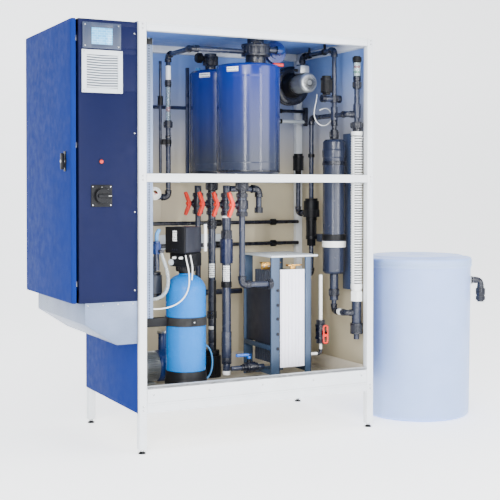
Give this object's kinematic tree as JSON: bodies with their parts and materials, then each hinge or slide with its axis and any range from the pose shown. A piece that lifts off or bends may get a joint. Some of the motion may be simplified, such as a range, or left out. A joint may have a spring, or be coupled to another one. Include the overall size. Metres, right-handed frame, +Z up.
{
  "type": "salt chlorine generator",
  "caption": "Membrane electrolysis skid in an open-fronted frame with a side-hung control box, product tanks, softener, cell and a separate round brine tank.",
  "frame": {"origin": "middle of the whole footprint on the floor, under both the skid and the brine tank", "axes": "+Z up, -Y the skid's open front, +X towards the brine tank, -X towards the control box door"},
  "size_m": [2.467, 0.967, 2.102],
  "materials": {
    "bezel_plastic": "matte",
    "black_plastic": "matte",
    "black_rubber": "matte",
    "blower_paint": "satin",
    "blue_paint": "semi-gloss",
    "blue_plastic": "satin",
    "brass": "satin",
    "brine_lid_plastic": "satin",
    "brine_plastic": "translucent",
    "cable_grey": "matte",
    "cable_white": "matte",
    "cell_plates": "matte",
    "clear_glass": "clear",
    "column_plastic": "satin",
    "cover_plastic": "satin",
    "cyan_plastic": "gloss",
    "dark_fittings": "satin",
    "frame_paint": "satin",
    "gauge_steel": "polished",
    "grey_fittings": "satin",
    "hose_clear": "translucent",
    "knob_plastic": "satin",
    "module_plastic": "matte",
    "motor_metal": "cast",
    "navy_paint": "semi-gloss",
    "orange_plastic": "satin",
    "pale_blue_plastic": "satin",
    "panel_paint": "satin",
    "red_plastic": "gloss",
    "steel": "brushed",
    "tank_plastic": "satin",
    "tray_plastic": "satin",
    "trunking_paint": "satin",
    "white_plastic": "satin"
  },
  "bodies": {
    "skid": {"air_hose_run": "pale_blue_plastic", "base_tray": "tray_plastic", "blower_housing": "blower_paint", "blower_motor": "motor_metal", "brine_fitting": "dark_fittings", "brine_tank": "brine_plastic", "busbars": "brass", "cable_chute": "trunking_paint", "casing_panels": "panel_paint", "cell_end_plate": "white_plastic", "cell_frame": "steel", "cell_plates": "cell_plates", "cell_top_plate": "white_plastic", "control_box": "navy_paint", "control_gear": "module_plastic", "door_gasket": "black_rubber", "door_hinges": "steel", "drain_hose_run": "hose_clear", "filter_fan": "black_plastic", "foot_pads": "black_rubber", "frame_posts": "frame_paint", "frame_rails": "frame_paint", "lower_front_panel": "frame_paint", "lower_pipes": "grey_fittings", "motor_valves": "black_plastic", "panel_devices": "black_plastic", "perforated_strip": "steel", "pressure_gauge": "gauge_steel", "product_tanks": "tank_plastic", "ribbed_column": "white_plastic", "sensor_lead": "cable_white", "separator_column": "column_plastic", "sight_tubes": "clear_glass", "signal_cables": "cable_grey", "softener_cover": "cover_plastic", "softener_mounts": "black_plastic", "softener_valve": "black_plastic", "softener_vessel": "cyan_plastic", "tank_heads": "grey_fittings", "touch_panel": "bezel_plastic", "transfer_pump": "motor_metal", "upper_pipes": "grey_fittings", "valve_bodies": "grey_fittings"},
    "door": {"control_door": "blue_paint"},
    "handle": {"door_handle": "black_plastic"},
    "lock": {"lock_rods": "steel"},
    "switch": {"main_switch_knob": "knob_plastic"},
    "fan": {"cooling_fan": "black_plastic"},
    "blower": {"blower_rotor": "steel"},
    "pump": {"pump_rotor": "steel"},
    "float": {"rotameter_float": "red_plastic"},
    "needle": {"gauge_needle": "red_plastic"},
    "lever_1": {"valve_lever_1": "orange_plastic"},
    "lever_2": {"valve_lever_2": "orange_plastic"},
    "lever_3": {"valve_lever_3": "orange_plastic"},
    "lever_4": {"valve_lever_4": "orange_plastic"},
    "dosing": {"dosing_handle": "orange_plastic"},
    "drain": {"drain_lever": "blue_plastic"},
    "inlet": {"inlet_lever": "pale_blue_plastic"},
    "lid": {"brine_lid": "brine_lid_plastic"}
  },
  "joints": [
    {"name": "door_swing", "type": "hinge", "parent": "skid", "child": "door", "pos_m": [-1.1795, 0.435, 1.423], "axis": [0, 0, -1], "range_deg": [0, 120]},
    {"name": "handle_turn", "type": "hinge", "parent": "door", "child": "handle", "pos_m": [-1.2165, -0.2875, 1.423], "axis": [1, 0, 0], "range_deg": [0, 90]},
    {"name": "lock_slide", "type": "slide", "parent": "door", "child": "lock", "axis": [0, 0, 1], "range_m": [0, 0.016]},
    {"name": "switch_turn", "type": "hinge", "parent": "skid", "child": "switch", "pos_m": [-1.0595, -0.3915, 1.258], "axis": [0, 1, 0], "range_deg": [0, 90]},
    {"name": "fan_spin", "type": "hinge", "parent": "skid", "child": "fan", "pos_m": [-1.0555, -0.3485, 1.849], "axis": [0, 1, 0], "continuous": true},
    {"name": "blower_spin", "type": "hinge", "parent": "skid", "child": "blower", "pos_m": [0.2635, 0.1685, 1.883], "axis": [0, 1, 0], "continuous": true},
    {"name": "pump_spin", "type": "hinge", "parent": "skid", "child": "pump", "pos_m": [-0.5745, 0.0685, 0.345], "axis": [1, 0, 0], "continuous": true},
    {"name": "float_rise", "type": "slide", "parent": "skid", "child": "float", "axis": [0, 0, 1], "range_m": [-0.04, 0.09]},
    {"name": "needle_turn", "type": "hinge", "parent": "skid", "child": "needle", "pos_m": [-0.6025, 0.0835, 1.266], "axis": [0, 1, 0], "range_deg": [-135, 135]},
    {"name": "lever_1_turn", "type": "hinge", "parent": "skid", "child": "lever_1", "pos_m": [-0.3045, -0.2515, 1.208], "axis": [1, 0, 0], "range_deg": [0, 90]},
    {"name": "lever_2_turn", "type": "hinge", "parent": "skid", "child": "lever_2", "pos_m": [-0.3045, -0.0645, 1.208], "axis": [1, 0, 0], "range_deg": [0, 90]},
    {"name": "lever_3_turn", "type": "hinge", "parent": "skid", "child": "lever_3", "pos_m": [-0.3045, 0.1225, 1.208], "axis": [1, 0, 0], "range_deg": [0, 90]},
    {"name": "lever_4_turn", "type": "hinge", "parent": "skid", "child": "lever_4", "pos_m": [-0.3045, 0.3095, 1.208], "axis": [1, 0, 0], "range_deg": [0, 90]},
    {"name": "dosing_turn", "type": "hinge", "parent": "skid", "child": "dosing", "pos_m": [0.2715, -0.2235, 0.505], "axis": [0, 1, 0], "range_deg": [0, 90]},
    {"name": "drain_turn", "type": "hinge", "parent": "skid", "child": "drain", "pos_m": [-0.1625, -0.1595, 0.4], "axis": [0, 0, 1], "range_deg": [0, 90]},
    {"name": "inlet_turn", "type": "hinge", "parent": "skid", "child": "inlet", "pos_m": [-0.7245, -0.2415, 1.04], "axis": [0, 0, 1], "range_deg": [0, 90]},
    {"name": "lid_lift", "type": "slide", "parent": "skid", "child": "lid", "axis": [0, 0, 1], "range_m": [0, 0.4]}
  ],
  "couplings": [
    {"joint": "handle_turn", "follows": "lock_slide", "rad_per_m": 98.17}
  ]
}
